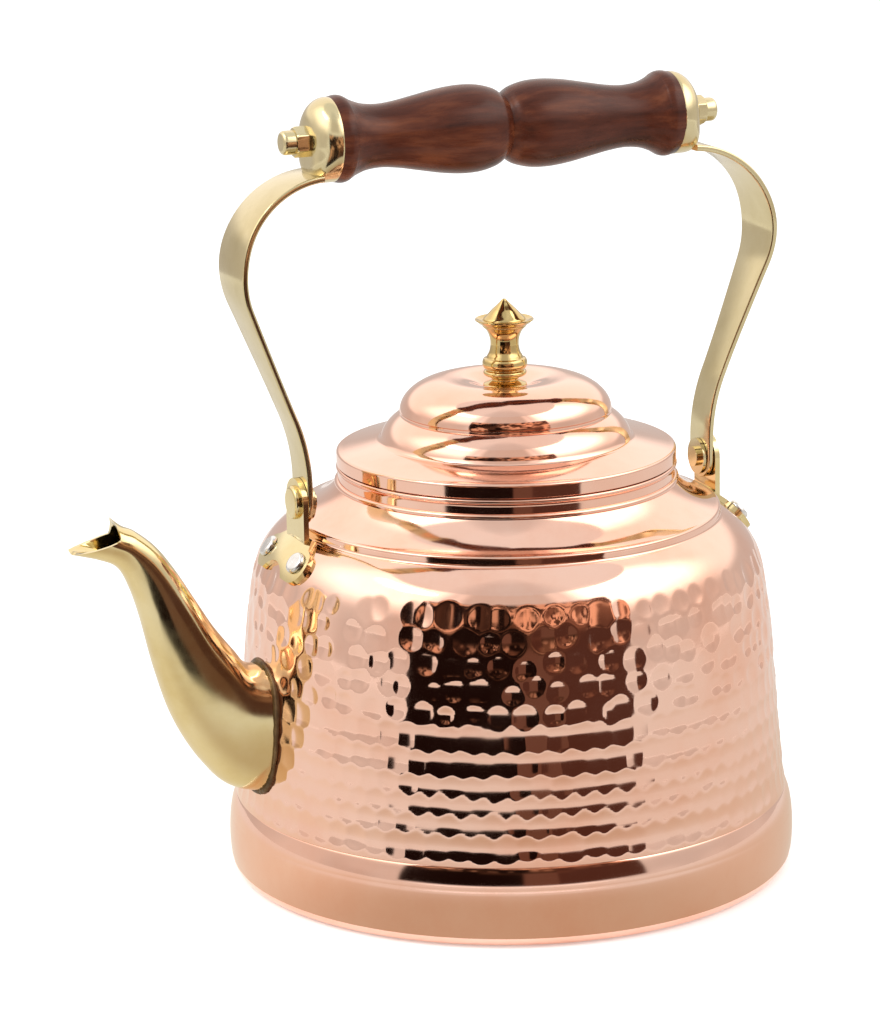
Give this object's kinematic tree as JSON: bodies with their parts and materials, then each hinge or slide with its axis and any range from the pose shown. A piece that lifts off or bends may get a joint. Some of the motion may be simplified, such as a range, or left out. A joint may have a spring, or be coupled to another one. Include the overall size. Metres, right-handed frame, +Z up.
{
  "type": "stovetop kettle",
  "caption": "Hammered copper stove kettle with a brass gooseneck spout, stepped lift-off lid with turned knob, and a riveted brass bail with a turned wooden grip.",
  "frame": {"origin": "centre of the flat base, on the surface the kettle stands on", "axes": "+Z up along the body's axis of revolution; the spout points along -X and the bail stands in the XZ plane; the bail's hinge axis is parallel to X"},
  "size_m": [0.2222, 0.172, 0.2379],
  "materials": {
    "copper": "polished, hammered on the wall",
    "brass": "polished",
    "dark_wood": "stained and satin varnished",
    "rivet_alloy": "bright",
    "steel": "plain",
    "solder": "dull, darkened"
  },
  "bodies": {
    "kettle": {"body_shell": "copper", "base_pan": "copper", "spout": "brass", "spout_solder": "solder", "front_lug": "brass", "front_lug_rivet_left": "rivet_alloy", "front_lug_rivet_right": "rivet_alloy", "front_pivot_rivet": "brass", "front_pivot_washer": "brass", "rear_lug": "brass", "rear_lug_rivet_left": "rivet_alloy", "rear_lug_rivet_right": "rivet_alloy", "rear_pivot_rivet": "brass", "rear_pivot_washer": "brass"},
    "lid": {"lid_shell": "copper", "lid_skirt": "copper", "lid_knob": "brass", "knob_washer": "brass", "knob_screw": "steel"},
    "handle": {"grip": "dark_wood", "grip_rod": "steel", "front_handle_strap": "brass", "front_nut_washer": "brass", "front_cap_nut": "brass", "rear_handle_strap": "brass", "rear_nut_washer": "brass", "rear_cap_nut": "brass"}
  },
  "joints": [
    {"name": "bail_swing", "type": "hinge", "parent": "kettle", "child": "handle", "pos_m": [0, 0, 0.1186], "axis": [1, 0, 0], "range_deg": [-95, 95]},
    {"name": "lid_lift", "type": "slide", "parent": "kettle", "child": "lid", "axis": [0, 0, 1], "range_m": [0, 0.034]}
  ]
}
